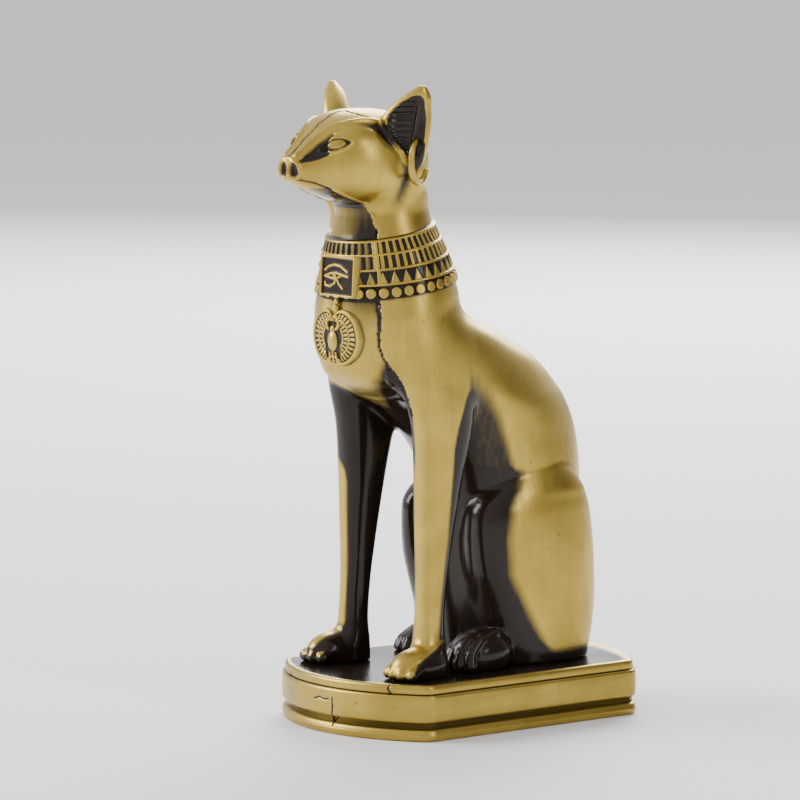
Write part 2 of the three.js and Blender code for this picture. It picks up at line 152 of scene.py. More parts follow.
def tube(points, radii):
    """A round bar along a line of points, with its radius changing from point to point."""
    pts = [np.array(p, dtype=float) for p in points]

    def form(x, y, z):
        best = None
        for (a, ra), (b, rb) in zip(zip(pts, radii), zip(pts[1:], radii[1:])):
            line = b - a
            t = ((x - a[0]) * line[0] + (y - a[1]) * line[1] + (z - a[2]) * line[2]) / (line @ line)
            t = np.clip(t, 0, 1)
            gap_x, gap_y, gap_z = (p - q - t * s for p, q, s in zip((x, y, z), a, line))
            d = np.sqrt(gap_x**2 + gap_y**2 + gap_z**2) - (ra + (rb - ra) * t)
            best = d if best is None else np.minimum(best, d)
        return best
    return form


def stored(field):
    """A form that reads a finished grid."""
    def form(x, y, z):
        places = np.stack(np.broadcast_arrays(x, y, z), -1)
        return field.at(places.reshape(-1, 3)).reshape(places.shape[:-1])
    return form


# The cat's stations

# Trunk and neck: [z, front y, back y, half width, narrowing towards the back].
TRUNK = [
    [0, -2, 32.2, 16.5, 0.05], [17, -4, 32.6, 17.5, 0.05], [32, -5, 33, 17, 0.05], [45, -7, 33.8, 16.8, 0.08],
    [54, -13, 33, 16.6, 0.12], [61, -20, 30.2, 17, 0.16], [65.5, -29.4, 26.8, 17.5, 0.19],
    [69, -34.6, 23.6, 17.8, 0.21], [72.5, -36.4, 19.2, 18, 0.22], [78, -36.9, 9, 18.3, 0.18],
    [83.5, -36.7, -2.4, 18.2, 0.1], [89, -36, -5.2, 17.8, 0.04], [94, -35.4, -6.8, 16.8, 0],
    [99, -34.9, -8.6, 15, 0], [103, -34.2, -10.3, 12.9, 0], [107, -34, -11.8, 11.6, 0],
    [112, -33, -12.6, 11.4, 0], [114.5, -31, -14, 10, 0], [116.5, -27, -17.5, 6, 0], [117, -24, -20, 2, 0],
]

# Head: [y, top, bottom, half width, height of the widest point].
HEAD = [
    [-14.4, 121, 113, 3, 118], [-15.6, 126.5, 110, 8.6, 118], [-19, 129.6, 108.8, 11.6, 118],
    [-24, 131, 108.4, 13.2, 118], [-29, 131.4, 108.4, 13.5, 118.4], [-34, 131.2, 109, 13.1, 119.2],
    [-38, 130, 110.2, 11.9, 120.4], [-41.5, 127.8, 111.4, 9.8, 120.2], [-45, 124.8, 113, 6.9, 119.6],
    [-48, 122.3, 114.6, 4.6, 118.8], [-49.4, 121.4, 115.4, 3.8, 118.4], [-50.3, 120.8, 116.2, 3.1, 118.5],
]

# Ear: [z, front x, front y, back x, back y, depth].
EAR = [
    [117.5, 14.8, -25.2, 15.6, -24.2, 0.8], [119.5, 13.6, -26.6, 16.3, -23, 2.0],
    [122, 12.4, -28.2, 16.7, -22.3, 2.9], [125, 11.2, -29.8, 17, -21.8, 3.4],
    [128.5, 10.3, -31, 17.3, -21.6, 3.6], [131.5, 11.8, -30.2, 17.6, -21.8, 3.0],
    [134.5, 14.6, -28, 18.1, -22.2, 2.1], [137, 17.4, -25.2, 18.2, -23.8, 0.6],
]

# The ear's shell and its hollow: [how much smaller than the stations, shift forwards, lift].
EAR_SHELL = [0.0, -1.0, 0.0]
EAR_HOLLOW = [0.8, 2.4, 0.8]

# Foreleg: [z, x, y, half width, half depth].
LEG = [
    [0, 14.5, -20.4, 4.3, 4.2], [5, 14.4, -20.2, 3.9, 3.9], [11, 14.3, -20, 3.1, 3.5],
    [21, 14.2, -19.3, 3.1, 3.7], [34, 14.2, -18.3, 3.7, 4.8], [46, 14.3, -17.2, 4.3, 6.1],
    [57, 14.4, -16.2, 4.7, 7.8], [67, 14, -17, 5.2, 9.4], [78, 12.4, -18.6, 5.6, 9.6], [88, 9.6, -19.5, 4, 7],
]

# Haunch: [z, front y, back y, half width].
HAUNCH = [
    [0, 2.2, 29, 7.6], [12, -0.6, 31, 8.4], [24, -3.8, 31, 8.6], [34, -4.6, 30, 8.2],
    [38.5, -3.4, 28.8, 7.8], [42, 0.4, 27, 7.2], [46.6, 5, 23, 4.8], [48.4, 10, 18, 2], [48.9, 13, 15, 0.7],
]
HAUNCH_X = 11.4
RIGHT_HAUNCH_FORWARD = 1.8

# The tail's line on the plinth, from the rump to the right hind paw, and its radius at each point.
TAIL = [
    (-4, 32, 4.5), (-12, 31.4, 3.2), (-18.6, 25.6, 2.8), (-20.8, 16, 2.7), (-21, 8, 2.6),
    (-20.9, 2.8, 2.5),
]
TAIL_RADII = [3.8, 3.5, 3.2, 3, 2.8, 2.3]


def trunk_form(step):
    z_at, front, back, half, narrow = dense(TRUNK)

    def form(x, y, z):
        f, b, h, n = (np.interp(z, z_at, c) for c in (front, back, half, narrow))
        mid, deep = (f + b) / 2, (b - f) / 2
        across = h * (1 - n * np.clip((y - mid) / deep, -1.2, 1.2))
        return np.maximum(oval(x, y - mid, across, deep, 2.0, (2, step)), z - TRUNK[-1][0])
    return form


def leg_form(side, step):
    z_at, cx, cy, wide, deep = dense(LEG)

    def form(x, y, z):
        mx, my, w, d = (np.interp(z, z_at, c) for c in (cx, cy, wide, deep))
        body = oval(x - side * mx, y - my, w, d, 2.5, (2, step))
        return np.maximum(body, z - LEG[-1][0])
    return form


def haunch_form(side, step):
    z_at, front, back, half = dense(HAUNCH)

    def form(x, y, z):
        f, b, h = (np.interp(z, z_at, c) for c in (front, back, half))
        shift = RIGHT_HAUNCH_FORWARD if side < 0 else 0
        body = oval(x - side * HAUNCH_X, y + shift - (f + b) / 2, h, (b - f) / 2, 2.15, (2, step))
        return np.maximum(body, z - HAUNCH[-1][0])
    return form


def head_form(step):
    y_at, top, bottom, half, widest = dense(HEAD[::-1])

    def form(x, y, z):
        t, b, h, w = (np.interp(y, y_at, c) for c in (top, bottom, half, widest))
        tall = np.where(z > w, t - w, w - b)
        body = oval(x, z - w, h, tall, 2.3, (1, step))
        return np.maximum(body, np.maximum(HEAD[-1][0] - y, y - HEAD[0][0]))
    return form


def ear_form(side, wall, shift, lift, step):
    """The ear's shell or its hollow, an oval cup that faces forwards and outwards."""
    z_at, fx, fy, bx, by, deep = dense(EAR)

    def form(x, y, z):
        ax, ay, cx, cy, d = (np.interp(z - lift, z_at, c) for c in (fx, fy, bx, by, deep))
        hx, hy = (cx - ax) / 2, (cy - ay) / 2
        size = np.sqrt(hx**2 + hy**2)
        ox, oy = hy / size, -hx / size
        px, py = side * x - (ax + cx) / 2, y - (ay + cy) / 2
        u = (px * hx + py * hy) / size
        v = px * ox + py * oy - shift
        long = np.maximum(size - wall, 0.1)
        body = oval(u, v, long, np.maximum(d - wall, 0.25), 2.0, (2, step))
        return np.maximum(body, np.maximum(EAR[0][0] + lift - z, z - EAR[-1][0] - lift))
    return form


# Paws: the heel's place, the turn outward, and the toes' arch as shares of length and height.
FRONT_PAW = {"heel": (15.4, -19), "length": 14.2, "half": 5.2, "tall": 8, "turn": 0.1,
             "arch": [(0.2, 0.76), (0.54, 0.44), (0.86, 0.18)]}
HIND_PAW = {"heel": (14.4, 1.5), "length": 15.5, "half": 5.6, "tall": 11, "turn": 0.03,
            "arch": [(0.35, 0.76), (0.66, 0.64), (0.86, 0.38), (0.9, 0.15)]}
RIGHT_HIND_PAW = {**HIND_PAW, "heel": (15, 10.2), "half": 5, "tall": 7.5}


def paw(field, shape, side, blend):
    """A paw of four toes; its line runs from the heel to the toes."""
    keys = ("heel", "length", "half", "tall", "turn", "arch")
    heel, length, half, tall, turn, arch = (shape[key] for key in keys)

    def place(across, ahead):
        x = heel[0] + across * math.cos(turn) + ahead * math.sin(turn)
        return side * x, heel[1] + across * math.sin(turn) - ahead * math.cos(turn)
    low = (min(side * 2, side * 27), heel[1] - length - 6, -1)
    high = (max(side * 2, side * 27), heel[1] + 8, tall + 5)
    cx, cy = place(0, length * 0.38)
    field.add(ball(cx, cy, tall * 0.32, half * 0.96, length * 0.52, tall * 0.56), blend, low, high)
    toe = half * 0.27
    for spread in (-1, -0.34, 0.34, 1):
        line = []
        for i, (ahead, height) in enumerate(arch):
            across = spread * (half - toe) * (0.66 + 0.34 * i / (len(arch) - 1))
            line.append((*place(across, length * (ahead - 0.08 * spread**2)), tall * height))
        field.add(tube(line, [toe * 0.9] * (len(line) - 1) + [toe * 1.05]), 0.3, low, high)


def haunch_blend(x, y, z):
    """How wide the haunch's crease is: wide at the belly, tight at the knee."""
    return 0 * x + np.interp(y, [-3, 4, 26], [4, 1, 2.5]) * np.interp(z, [30, 45], [1, 0.2])


def head_blend(x, y, z):
    """How wide the crease between head and neck is: widest under the jaw."""
    return np.interp(y, [-38, -31, -25, -17], [0.8, 4.5, 3, 1]) + 0 * x + 0 * z


def add_ear(field, side, step):
    near = sorted((side * 7.0, side * 24.0))
    around = (near[0], -36, 108), (near[1], -14, 139)
    cells, _ = field.part(*around)
    if 0 in field.d[cells].shape:
        return
    hollow = ear_form(side, *EAR_HOLLOW, step)
    scoop = Field(*around, step)
    scoop.add(ear_form(side, *EAR_SHELL, step), 0.1)
    scoop.cut(hollow, 0.35)
    field.add(stored(scoop), 0.7, *around)
    field.cut(hollow, 0.35, *around)


def cat_field(low, high, step, margin=0):
    """The whole cat on a grid; forms are worked out in boxes a margin larger than they need."""
    field = Field(low, high, step)

    def box(x0, x1, y0, y1, z0, z1):
        return (x0 - margin, y0 - margin, z0 - margin), (x1 + margin, y1 + margin, z1 + margin)
    field.add(trunk_form(step), 0.1)
    for side in (1, -1):
        near = sorted((side * 1.0, side * 25.0))
        field.add(leg_form(side, step), 2.4, *box(*near, -32, -2, -1, 90))
        field.add(haunch_form(side, step), haunch_blend, *box(*near, -10, 36, -1, 54))
        paw(field, FRONT_PAW, side, 2.2)
    paw(field, HIND_PAW, 1, 1.2)
    paw(field, RIGHT_HIND_PAW, -1, 1.2)
    field.add(tube(TAIL, TAIL_RADII), 0.8, (-26, -4, -1), (4, 38, 10))
    field.add(head_form(step), head_blend, *box(-19, 19, -53, -5, 98, 137))
    for side in (1, -1):
        add_ear(field, side, step)
    field.cut(lambda x, y, z: z + 0.02 + 0 * x + 0 * y, 0.02)
    return field


# Meshes


def linked(name, data):
    """A new object in the scene."""
    made = bpy.data.objects.new(name, data)
    bpy.context.scene.collection.objects.link(made)
    return made


def mesh_object(name, points, faces, material, dark, place=(0, -CAT_FORWARD, PLINTH_TOP)):
    """A smooth mesh from points in millimetres and quads, with the darkness of patina and painted shade at
    each point.
    """
    mesh = bpy.data.meshes.new(name)
    points = np.asarray(points, dtype=float) + place
    faces = np.asarray(faces, dtype=np.int32)
    mesh.vertices.add(len(points))
    mesh.vertices.foreach_set("co", (points / 1000).astype(np.float32).ravel())
    mesh.loops.add(faces.size)
    mesh.loops.foreach_set("vertex_index", faces.ravel())
    mesh.polygons.add(len(faces))
    mesh.polygons.foreach_set("loop_start", np.arange(0, faces.size, faces.shape[1], dtype=np.int32))
    mesh.polygons.foreach_set("use_smooth", np.ones(len(faces), dtype=bool))
    mesh.update(calc_edges=True)
    mesh.validate()
    layer = mesh.attributes.new("patina_and_shade", "FLOAT", "POINT")
    layer.data.foreach_set("value", np.asarray(dark, dtype=np.float32))
    mesh.materials.append(material)
    return linked(name, mesh)


def grid_quads(rows, columns, closed=False):
    """The quads of a grid of points; closed joins its last column to its first."""
    r, c = np.meshgrid(np.arange(rows - 1), np.arange(columns if closed else columns - 1), indexing="ij")
    d = (c + 1) % columns
    corners = [r * columns + c, r * columns + d, (r + 1) * columns + d, (r + 1) * columns + c]
    return np.stack(corners, -1).reshape(-1, 4)


# Steps and lines


def rise(x, low, high):
    """0 below low, 1 above high, smooth between."""
    t = np.clip((x - low) / (high - low), 0, 1)
    return t * t * (3 - 2 * t)


def fall(x, low, high):
    """1 below low, 0 above high, smooth between."""
    return 1 - rise(x, low, high)


def to_line(points, line):
    """Distance from each point to a line of points, and the share of the line's length there."""
    line = np.array(line, dtype=float)
    best = np.full(len(points), 1e9)
    where = np.zeros(len(points))
    lengths = np.concatenate([[0], np.cumsum(np.linalg.norm(np.diff(line, axis=0), axis=1))])
    for k in range(len(line) - 1):
        a, b = line[k], line[k + 1]
        t = np.clip((points - a) @ (b - a) / ((b - a) @ (b - a)), 0, 1)
        d = np.linalg.norm(points - a - t[:, None] * (b - a), axis=1)
        closer = d < best
        best = np.where(closer, d, best)
        where = np.where(closer, (lengths[k] + t * (lengths[k + 1] - lengths[k])) / lengths[-1], where)
    return best, where


def along(where, *values):
    """Evenly spaced values read off at a share of the length."""
    return np.interp(where, np.linspace(0, 1, len(values)), values)


def mirrored(points):
    """The points of the right side set over to the left."""
    return points * (np.sign(points[:, :1]) * (1, 0, 0) + (0, 1, 1))


# The cat's fields

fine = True
BODY_STEP = 0.53 if fine else 0.8
HEAD_STEP = 0.265 if fine else 0.45

rough_field = cat_field((-33, -60, -2), (33, 45, 145), 0.9, 14)
body_field = cat_field((-26.5, -42, -1.2), (26.5, 36, 98), BODY_STEP)
head_field = cat_field((-20.5, -53, 97), (20.5, -5, 138.6), HEAD_STEP)


# Patina and painted shade


def openness(points, normals):
    """0 in tight hollows, 1 on open ground."""
    total = np.zeros(len(points))
    weight = 0
    for reach, share in ((1.5, 1.0), (3, 1.0), (6, 1.0), (10, 0.8)):
        d = rough_field.at(points + normals * reach)
        d = np.minimum(d, (points + normals * reach)[:, 2] + 0.3)
        total += share * np.clip(d / reach, 0, 1)
        weight += share
    return total / weight


# The edges of the patina and the painted shade: places in rising order, and the edge's value at each.
# FORELEG_REAR and FORE_PAW_SIDE are measured along SLANT, a level direction between the cat's side and its
# back.
SLANT = (0.63, 0.777)
FORELEG_REAR = [6, 18, 32, 48, 52.8, 57.4, 62, 66], [-4.4, -3.6, -2.1, -0.8, -0.5, 0.4, 1.7, 2.6]
BREAST_FOOT = [-13, -10.5, -7.6, 0, 4, 7.4, 10.5, 12, 13.6], [
    66, 64.8, 62.3, 61.5, 64, 66.6, 69.5, 72.5, 73.5]
ARMPIT_SIDE = [55, 61, 64.6, 68.8, 72.7, 74.8], [13.6, 14.2, 13.7, 13.5, 12.7, 12.3]
FLANK_TOP = [-14, -11, -4.5, -0.5, 2.5, 5], [74, 70.5, 65.5, 59.5, 53, 46]
FLANK_END = [38, 44, 48], [-1, 2, 6]
HAUNCH_FRONT = [4, 8.8, 14.2, 22, 30, 37.6, 41.5, 45.5], [12, 8.8, 5.9, 2.1, 1.3, 2.7, 5.2, 7.3]
FORE_PAW_SIDE = [0, 4, 7, 9], [-11, -9.2, -4.6, -1]

# The casting's line from the armpit down the flank to the hind paw.
FLANK_SEAM = [
    (15.5, -12.5, 56), (15.2, -9.5, 50.5), (14.5, -6.6, 43.5), (13, -5.6, 38), (14, -5.4, 26),
    (14.5, -3.6, 14),
]


def foreleg_patina_and_shade(x, y, z, nx):
    """The forelegs' inner faces and rear edges, and the hollow between them under the breast: black lacquer,
    darkened further as painted shade on the inner faces, the rear edges and under the breast.
    """
    out = np.abs(x)
    inward = -nx * np.sign(x)
    across = SLANT[0] * out + SLANT[1] * y
    top = fall(z, np.where(x > 0, 52, 61), np.where(x > 0, 64, 67))
    turned = rise(z, 42, 58)
    # Painted shade: the inner faces darken by how far they turn towards the other leg, and the far leg's
    # front does too higher up.
    near_shade = rise(inward, 0.45, 0.8)
    far_shade = rise(inward, 0.05 - 1.05 * turned, 0.5 - 1.1 * turned)
    inner = rise(out, 8.5, 10) * fall(y, -11.5, -9) * top * np.where(x > 0, near_shade, far_shade)
    rear = rise(across - np.interp(z, *FORELEG_REAR), -0.7, 0.7)
    rear = rear * rise(out, 8.5, 10) * fall(z, 64, 67) * rise(z, 6, 9) * fall(y, -12, -9)
    foot = np.interp(x, *BREAST_FOOT)
    side = np.interp(z, *ARMPIT_SIDE)
    armpit = fall(z, foot - 2, foot + 2.6) * rise(z, 45, 52)
    armpit = armpit * fall(y, -12, -8) * fall(x, side - 0.3, side + 0.3)
    return 1.1 * (inner + rear + armpit)


def flank_patina_and_shade(x, y, z):
    """The flank and the belly behind the foreleg, the haunch's front and the foot of the body. Behind the
    foreleg the black lacquer is darkened further as painted shade, and along the foot a painted contact
    shadow lies over the patina.
    """
    across = SLANT[0] * np.abs(x) + SLANT[1] * y
    top = np.interp(y, *FLANK_TOP)
    end = np.interp(z, *FLANK_END)
    # Painted shade over black lacquer on the flank behind the foreleg, below the shoulder's shaded back edge.
    belly = fall(z, top - 5, top + 4) * rise(across - np.interp(z, *FORELEG_REAR), -0.5, 1)
    belly = belly * rise(y, -17, -14) * fall(y, end - 1.5, end + 2.5)
    front = np.interp(z, *HAUNCH_FRONT)
    haunch = fall(y, front - 2.4, front + 2.4) * rise(y, -9, -6) * fall(z, 45, 47.5)
    # A dark band along the foot of the body by the plinth: patina with a painted contact shadow.
    foot = fall(z, 2, 7 - 2.5 * rise(y, 8, 14)) * rise(y, -3, 0)
    return 0.86 * belly + haunch + 0.9 * foot


def paw_patina(x, y, z, nz):
    """The hind paws all over, the left fore paw's outer side and the right one's sides."""
    across = SLANT[0] * np.abs(x) + SLANT[1] * y
    hind = fall(y, 0, 3) * rise(y, -16, -15) * fall(z, 14, 17)
    outer = rise(across - np.interp(z, *FORE_PAW_SIDE), -0.5, 0.7)
    left = outer - 0.35 * (1 - outer)
    right = 0.95 * rise(1 - 1.2 * nz, 0.35, 0.6)
    return hind + fall(y, -18, -16) * fall(z, 7, 10) * np.where(x > 0, left, right)


def patina_and_shade(points, normals):
    """How dark the surface is painted: 0 on rubbed brass, 1 on black. It holds the black lacquer of the
    hollows, and painted shade on the forelegs and the flank.
    """
    x, y, z = points.T
    nx, _, nz = normals.T
    hollows = np.clip(1.25 * (1 - openness(points, normals)) - 0.3, 0, 1)
    seam, _ = to_line(mirrored(points), FLANK_SEAM)
    neck = fall(np.abs(z - 105.5), 1.5, 5) * rise(y, -26, -17)
    dark = foreleg_patina_and_shade(x, y, z, nx) + flank_patina_and_shade(x, y, z) + paw_patina(x, y, z, nz)
    dark += 0.6 * fall(seam, 0.2, 0.6) + 0.3 * neck
    return np.clip(hollows + (1 - hollows) * np.minimum(dark, 1), 0, 1)


# Materials

# Linear colours: the brass from deep to pale, its scratches and specks, and the lacquer in the hollows.
BRASS_DEEP = np.array((0.45, 0.31, 0.052))
BRASS_PALE = np.array((0.63, 0.455, 0.09))
SCRATCH = (0.31, 0.21, 0.062)
SPECK = (0.10, 0.06, 0.025)
LACQUER = (0.016, 0.0095, 0.006)


class Nodes:
    """A small builder of node trees."""

    def __init__(self, tree):
        self.tree = tree

    def add(self, kind, links=None, **values):
        node = self.tree.nodes.new(kind)
        for key, value in values.items():
            setattr(node, key, value)
        for key, value in (links or {}).items():
            socket = node.inputs[key]
            if isinstance(value, bpy.types.NodeSocket):
                self.tree.links.new(value, socket)
            else:
                socket.default_value = value
        return node

    def math(self, operation, a, b):
        return self.add("ShaderNodeMath", {0: a, 1: b}, operation=operation).outputs[0]

    def ramp(self, value, *stops):
        node = self.add("ShaderNodeValToRGB", {"Fac": value})
        ramp = node.color_ramp
        for stop, _ in stops[2:]:
            ramp.elements.new(stop)
        for element, (stop, colour) in zip(ramp.elements, sorted(stops)):
            element.position = stop
            element.color = (*colour, 1)
        return node.outputs["Color"]

    def noise(self, vector, scale, detail, rough):
        values = {"Vector": vector, "Scale": scale, "Detail": detail, "Roughness": rough}
        return self.add("ShaderNodeTexNoise", values).outputs["Fac"]

    def mix(self, factor, a, b):
        node = self.add("ShaderNodeMix", {"Factor": factor}, data_type="RGBA")
        colours = [s for s in node.inputs if s.type == "RGBA"]
        for socket, value in zip(colours, (a, b)):
            if isinstance(value, bpy.types.NodeSocket):
                self.tree.links.new(value, socket)
            else:
                socket.default_value = (*value, 1)
        return next(s for s in node.outputs if s.type == "RGBA")


def brass(name, brush, bright=1.0):
    """Antique brass: rubbed and finely brushed, with glossy black lacquer where the number of patina and
    painted shade is high.
    """
    material = bpy.data.materials.new(name)
    material.use_nodes = True
    tree = material.node_tree
    tree.nodes.clear()
    n = Nodes(tree)
    place = n.add("ShaderNodeTexCoord").outputs["Object"]
    brushed = n.add("ShaderNodeMapping", {"Vector": place, "Scale": brush}).outputs["Vector"]
    streaks = n.noise(brushed, 1100, 3.0, 0.6)
    clouds = n.noise(place, 90, 3.0, 0.5)
    grain = n.noise(place, 2600, 2.0, 0.5)
    specks = n.ramp(n.noise(place, 700, 2.0, 0.6), (0.69, (0, 0, 0)), (0.76, (1, 1, 1)))
    amount = n.add("ShaderNodeAttribute", attribute_name="patina_and_shade").outputs["Fac"]
    shaken = n.math("ADD", amount, n.math("MULTIPLY", n.math("SUBTRACT", clouds, 0.5), 0.25))
    shaken = n.math("ADD", shaken, n.math("MULTIPLY", n.math("SUBTRACT", streaks, 0.5), 0.2))
    dark = n.ramp(shaken, (0.1, (0, 0, 0)), (0.5, (0.5, 0.5, 0.5)), (0.9, (1, 1, 1)))
    tone = n.ramp(clouds, (0.3, BRASS_DEEP * bright), (0.7, BRASS_PALE * bright))
    tone = n.mix(n.math("MULTIPLY", streaks, 0.5), tone, SCRATCH)
    tone = n.mix(n.math("MULTIPLY", specks, 0.6), tone, SPECK)
    colour = n.mix(dark, tone, LACQUER)
    metal = n.ramp(dark, (0.0, (1, 1, 1)), (1.0, (0.08, 0.08, 0.08)))
    gloss = n.math("ADD", n.math("MULTIPLY", streaks, 0.2), 0.26)
    gloss = n.math("SUBTRACT", gloss, n.math("MULTIPLY", dark, 0.2))
    height = n.math("ADD", n.math("MULTIPLY", streaks, 0.7), n.math("MULTIPLY", grain, 0.3))
    lines = n.add("ShaderNodeBump", {"Height": height, "Strength": 0.14, "Distance": 0.0002})
    shader = n.add("ShaderNodeBsdfPrincipled", {"Base Color": colour, "Metallic": metal, "Roughness": gloss,
                                                "Specular IOR Level": 0.3, "Normal": lines.outputs["Normal"]})
    n.add("ShaderNodeOutputMaterial", {"Surface": shader.outputs["BSDF"]})
    return material


cast_brass = brass("antique_brass_cast", (1.0, 1.0, 0.06))
# The plinth's brass is the cast brass painted darker by the factor 0.82: painted shade.
plinth_brass = brass("antique_brass_plinth", (0.06, 0.06, 1.0), 0.82)

# Relief: how far the surface stands out at each point

# Lines on the left side of the face; the right side mirrors them.
BROW_RIDGE = [
    (2.0, -49, 121.3), (2.2, -47.3, 122.5), (2.6, -45.1, 124.3), (3.4, -43.2, 125.9), (4.8, -40.7, 127.7),
    (6.7, -38.5, 128.7), (7.9, -35.8, 129.3), (8.6, -32.7, 129.4), (9.2, -30.4, 129.5),
]
BROW_HOLLOW = [
    (5.2, -42.2, 125.4), (6.4, -40.2, 126.6), (7.8, -37.5, 127.5), (9.2, -34, 127.6), (10.6, -31.6, 127.2),
    (12.8, -29.6, 125.6), (14, -27.2, 123.6),
]
MOUTH = [(2.6, -48.6, 115.6), (3.3, -47.4, 115.4), (4.4, -45.8, 115), (5.3, -44, 114.2), (6.1, -42.4, 113.4)]
JAW = [(6.1, -42.4, 113.4), (6.6, -39.8, 112), (6.8, -36.8, 110.6), (6.8, -33.8, 109.3)]
CHEEK_BACK = [
    (13.6, -24.2, 121), (13.4, -25.2, 117), (12.8, -25.9, 113.5), (11.2, -26.4, 110.6), (9.6, -28.4, 109),
]
EYE_INNER = np.array((5.3, -45.0, 122.7))
EYE_OUTER = np.array((10.3, -39.4, 124.4))
UPPER_LID = 1.75
LOWER_LID = 1.35
NOSTRIL = {"middle": 0.5, "apart": 1.75, "height": 117.9, "half_wide": 1.4, "half_tall": 1.85}

# The crack over the crown, on one side only.
CROWN_SEAM = [
    (0.2, -49.8, 121), (0.0, -47.4, 122.6), (-0.3, -45, 124.6), (0.3, -42.2, 127), (-0.1, -40.8, 128.2),
    (0.5, -39.3, 129.3), (0.2, -37.9, 130.1), (0.6, -35.8, 130.9), (1.7, -34.7, 131.2), (3.6, -34.9, 131),
    (5.3, -34.5, 130.7), (7.4, -33.2, 130.1), (8.1, -31, 130), (9, -29.3, 130.1),
]


def brow_relief(p):
    """The sunk facet from the nose to the eye, the hollow over the eye and the brow's ridge. The hollow's
    black is patina with a painted shadow under the brow.
    """
    x, y, z = p.T
    top = np.interp(y, [-49.6, -47.3, -45.1, -43.2, -40.7], [120.6, 122.5, 124.3, 125.8, 127.6]) - 0.35
    edge = np.interp(y, [-49.6, -48.8, -47, -45.4, -44.2, -43.2, -42.2],
                     [119.6, 119.6, 119.9, 120.5, 121.2, 121.8, 122.6])
    end = np.interp(z, [121.5, 122.8, 124, 125.4, 126.2], [-43.6, -44.2, -43.6, -42.4, -41.6])
    facet = rise(z, edge - 0.2, edge + 0.5) * fall(z, top - 0.6, top) * (x > 1.2)
    facet = facet * fall(y, end - 0.3, end + 0.3) * rise(y, -49.4, -48.8)
    move = -facet * np.interp(y, [-49, -46, -43], [0.5, 0.9, 0.9])
    dark = 1.3 * facet

    d, w = to_line(p, BROW_HOLLOW)
    width = along(w, 0.7, 0.8, 0.9, 1.2, 1.8, 2.4, 2.0)
    hollow = fall(d, width * 0.1, width * 1.5)
    move -= along(w, 0.3, 0.35, 0.4, 0.5, 0.6, 0.6, 0.4) * hollow
    # Patina in the hollow over the eye, deepened as a painted shadow under the brow.
    dark += along(w, 0.7, 0.6, 0.7, 1.0, 1.3, 1.4, 1.2) * hollow

    d, _ = to_line(p, BROW_RIDGE)
    ridge = np.exp(-((d / 0.5) ** 2))
    return move + 0.5 * ridge, dark - 1.0 * ridge


def eye_relief(p, dark):
    """The almond eye with its lids, over the patina that the brow holds."""
    long = EYE_OUTER - EYE_INNER
    reach = np.linalg.norm(long) / 2
    long = long / (2 * reach)
    middle = (EYE_INNER + EYE_OUTER) / 2
    out = np.array((0.72, -0.52, 0.46))
    out -= long * (out @ long)
    out /= np.linalg.norm(out)
    up = np.cross(out, long)
    up *= np.sign(up[2])
    a, b = (p - middle) @ long, (p - middle) @ up
    near = (np.abs((p - middle) @ out) < 3).astype(float)
    tall = np.where(b > 0, UPPER_LID, LOWER_LID)
    lid = tall * np.maximum(1 - (a / reach) ** 2, 0) ** 0.75
    inside = near * rise(lid - np.abs(b), -0.05, 0.3)
    eyeball = np.sqrt(np.maximum(1 - ((a - 0.35) / 2.5) ** 2 - (b / (0.82 * tall)) ** 2, 0))
    lids = near * np.exp(-(((np.abs(b) - lid - 0.2) / 0.3) ** 2)) * (np.abs(a) < reach + 0.2)
    move = -0.5 * inside + near * 0.95 * eyeball + 0.32 * lids
    dark = dark * (1 - inside) + near * 1.3 * inside * (1 - 1.1 * np.minimum(eyeball, 0.74))
    inner = near * np.exp(-(((a + 2.9) / 1.3) ** 2 + ((b + 0.1) / 1.3) ** 2)) * (a < -1.2)
    return move, dark + 1.2 * inner - 0.75 * lids * rise(a, -2.6, -1.2)


def face_relief(points, normals):
    """Returns how far each point moves out, and how dark each point is painted: the patina that the carving
    holds, a painted shadow under the brow and painted shade under the jaw.
    """
    p = mirrored(points)
    x, y, z = p.T
    move, dark = brow_relief(p)
    more, dark = eye_relief(p, dark)
    move += more

    for line, depth, wide in ((MOUTH, 0.5, 0.34), (JAW, 0.2, 0.3)):
        d, _ = to_line(p, line)
        groove = np.exp(-((d / wide) ** 2))
        move -= depth * groove
        dark += 1.2 * groove

    d, w = to_line(p, CHEEK_BACK)
    crease = np.exp(-((d / 1.9) ** 2)) * along(w, 0.7, 1, 1, 0.8, 0.3)
    move -= 0.45 * crease
    dark += 0.85 * crease

    side = np.abs(np.abs(points[:, 0] - NOSTRIL["middle"]) - NOSTRIL["apart"]) / NOSTRIL["half_wide"]
    nostril = side**2.4 + (np.abs(z - NOSTRIL["height"]) / NOSTRIL["half_tall"]) ** 2.4
    pit = fall(nostril, 0.55, 1.05) * (y < -48.9)
    move -= 0.8 * pit
    dark += 1.3 * pit
    rim = np.exp(-(((np.sqrt(nostril) - 1.16) / 0.12) ** 2)) * (y < -48.8)
    move += 0.2 * rim
    dark -= 0.5 * rim

    d, _ = to_line(points, CROWN_SEAM)
    seam = fall(d, 0.18, 0.4) * (points[:, 2] > 119.5)
    move -= 0.25 * seam
    dark += 1.4 * seam
    # Painted shade under the jaw: faces that turn downwards are darkened.
    under_jaw_shade = rise(-normals[:, 2], 0.35, 0.75) * fall(z, 113.5, 115.5) * rise(y, -43, -39)
    return move, dark + 0.7 * under_jaw_shade * (x < 6)


